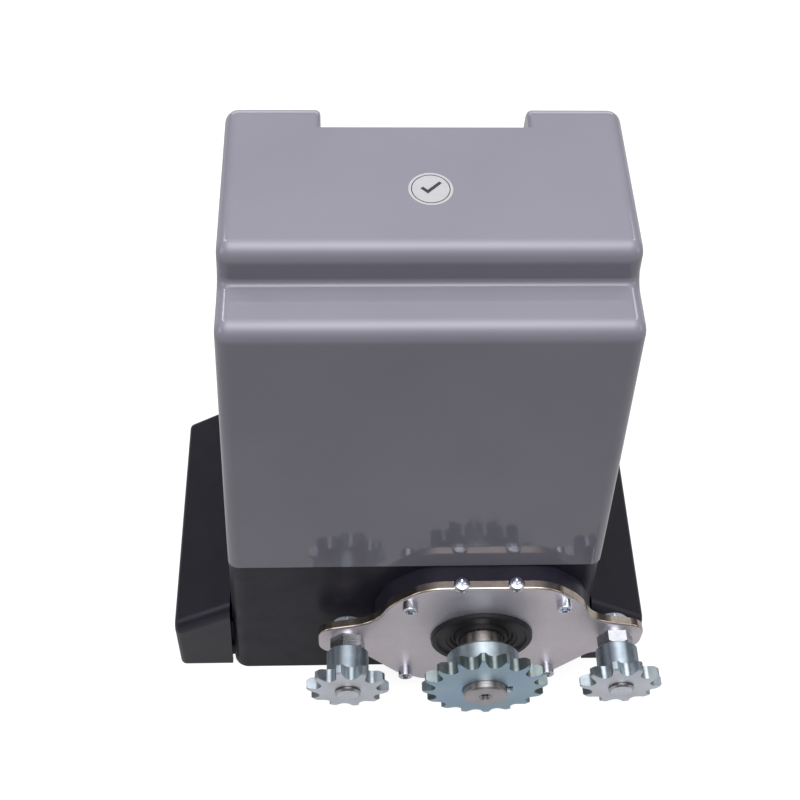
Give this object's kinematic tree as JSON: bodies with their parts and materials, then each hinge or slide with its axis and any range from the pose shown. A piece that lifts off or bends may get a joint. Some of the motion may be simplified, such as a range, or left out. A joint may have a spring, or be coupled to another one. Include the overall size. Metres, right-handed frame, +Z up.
{
  "type": "sliding gate gearmotor",
  "caption": "Worm gearmotor for a sliding gate: moulded cover on a cast base with covered anchor feet, and a chain plate with a drive sprocket between idlers.",
  "frame": {"origin": "centre of the base casting's underside", "axes": "+Z up, -Y towards the gate and the sprockets, +X to the right seen from the gate"},
  "size_m": [0.2852, 0.2099, 0.3506],
  "materials": {
    "housing": "black powder-coated casting, satin",
    "cover": "glossy grey moulded ABS",
    "foot_cover": "black moulded plastic, satin",
    "nickel": "nickel-plated steel plate",
    "zinc": "bright zinc-plated steel",
    "blue_zinc": "blue passivated zinc-plated steel",
    "steel": "machined steel",
    "black_steel": "black oxide steel",
    "rubber": "black nitrile rubber",
    "raw_aluminium": "die-cast aluminium",
    "bronze": "cast bronze",
    "laminations": "stacked electrical steel",
    "copper": "enamelled copper wire",
    "gasket": "green fibre gasket",
    "lever": "black glass-filled nylon",
    "board": "green circuit board",
    "relay": "blue relay cases",
    "terminal": "green screw terminals",
    "capacitor": "white plastic can",
    "small_capacitor": "black sleeved capacitors",
    "sheet_steel": "galvanised sheet steel",
    "sensor": "black potted sensor",
    "sticker": "white paper label"
  },
  "bodies": {
    "housing": {"gear_housing": "housing", "housing_lid": "raw_aluminium", "lid_gasket": "gasket", "lid_screws": "zinc", "levelling_screws": "zinc", "cable_grommet": "rubber", "chain_plate": "nickel", "plate_screws": "zinc", "limit_bracket_screws": "zinc", "seal_retainer": "black_steel", "oil_seal": "rubber", "output_front_bearing": "steel", "output_rear_bearing": "steel", "worm_tip_bearing": "steel", "motor_lower_bearing": "steel", "motor_upper_bearing": "steel", "left_idler_axle": "zinc", "right_idler_axle": "zinc", "idler_washers": "zinc", "idler_nuts": "zinc", "worm_seal": "rubber", "motor_lower_endbell": "raw_aluminium", "motor_upper_endbell": "raw_aluminium", "stator_core": "laminations", "stator_windings": "copper", "motor_bolts": "zinc", "run_capacitor": "capacitor", "capacitor_clamp": "sheet_steel", "transformer": "laminations", "board_bracket": "sheet_steel", "control_board": "board", "board_relays": "relay", "terminal_blocks": "terminal", "board_capacitors": "small_capacitor", "limit_sensor": "sensor"},
    "cover": {"cover": "cover", "inspection_sticker": "sticker", "cover_screws": "zinc"},
    "left_foot_cover": {"left_foot_cover": "foot_cover"},
    "right_foot_cover": {"right_foot_cover": "foot_cover"},
    "output": {"output_shaft": "steel", "sprocket_key": "steel", "clutch_key": "steel", "drive_sprocket": "blue_zinc", "sprocket_set_screw": "black_steel", "spacer_sleeve": "steel", "clutch_spring": "steel"},
    "wheel": {"worm_wheel": "bronze", "wheel_bush": "bronze"},
    "clutch": {"clutch_dog": "steel"},
    "fork": {"shift_fork": "steel"},
    "lever": {"release_lever": "lever", "release_crank": "steel"},
    "lock": {"key_lock": "zinc"},
    "motor_rotor": {"motor_shaft": "steel", "rotor": "laminations"},
    "left_idler": {"left_idler_sprocket": "zinc", "left_idler_bush": "bronze"},
    "right_idler": {"right_idler_sprocket": "zinc", "right_idler_bush": "bronze"}
  },
  "joints": [
    {"name": "output_spin", "type": "hinge", "parent": "housing", "child": "output", "pos_m": [0.04, -0.1205, 0.07], "axis": [0, 1, 0], "continuous": true},
    {"name": "wheel_spin", "type": "hinge", "parent": "housing", "child": "wheel", "pos_m": [0.04, -0.015, 0.07], "axis": [0, 1, 0], "continuous": true},
    {"name": "motor_spin", "type": "hinge", "parent": "housing", "child": "motor_rotor", "pos_m": [0, -0.015, 0.07], "axis": [0, 0, 1], "continuous": true},
    {"name": "left_idler_spin", "type": "hinge", "parent": "housing", "child": "left_idler", "pos_m": [-0.0378, -0.1205, 0.07], "axis": [0, 1, 0], "continuous": true},
    {"name": "right_idler_spin", "type": "hinge", "parent": "housing", "child": "right_idler", "pos_m": [0.1178, -0.1205, 0.07], "axis": [0, 1, 0], "continuous": true},
    {"name": "release_turn", "type": "hinge", "parent": "housing", "child": "lever", "pos_m": [0.03, 0.0695, 0.14], "axis": [0, 0, -1], "range_deg": [0, 90]},
    {"name": "fork_slide", "type": "slide", "parent": "housing", "child": "fork", "axis": [0, 1, 0], "range_m": [0, 0.0061]},
    {"name": "clutch_slide", "type": "slide", "parent": "output", "child": "clutch", "axis": [0, 1, 0], "range_m": [0, 0.0061]},
    {"name": "key_turn", "type": "hinge", "parent": "lever", "child": "lock", "pos_m": [-0.022, 0.07, 0.1415], "axis": [0, 1, 0], "range_deg": [0, 90]},
    {"name": "cover_lift", "type": "slide", "parent": "housing", "child": "cover", "axis": [0, 0, 1], "range_m": [0, 0.25]},
    {"name": "left_foot_cover_pull", "type": "slide", "parent": "housing", "child": "left_foot_cover", "axis": [-1, 0, 0], "range_m": [0, 0.05]},
    {"name": "right_foot_cover_pull", "type": "slide", "parent": "housing", "child": "right_foot_cover", "axis": [1, 0, 0], "range_m": [0, 0.05]}
  ],
  "couplings": [
    {"joint": "wheel_spin", "follows": "output_spin", "ratio": 1},
    {"joint": "motor_spin", "follows": "output_spin", "ratio": -30},
    {"joint": "fork_slide", "follows": "release_turn", "m_per_rad": 0.0038197},
    {"joint": "clutch_slide", "follows": "release_turn", "m_per_rad": 0.0038197}
  ]
}
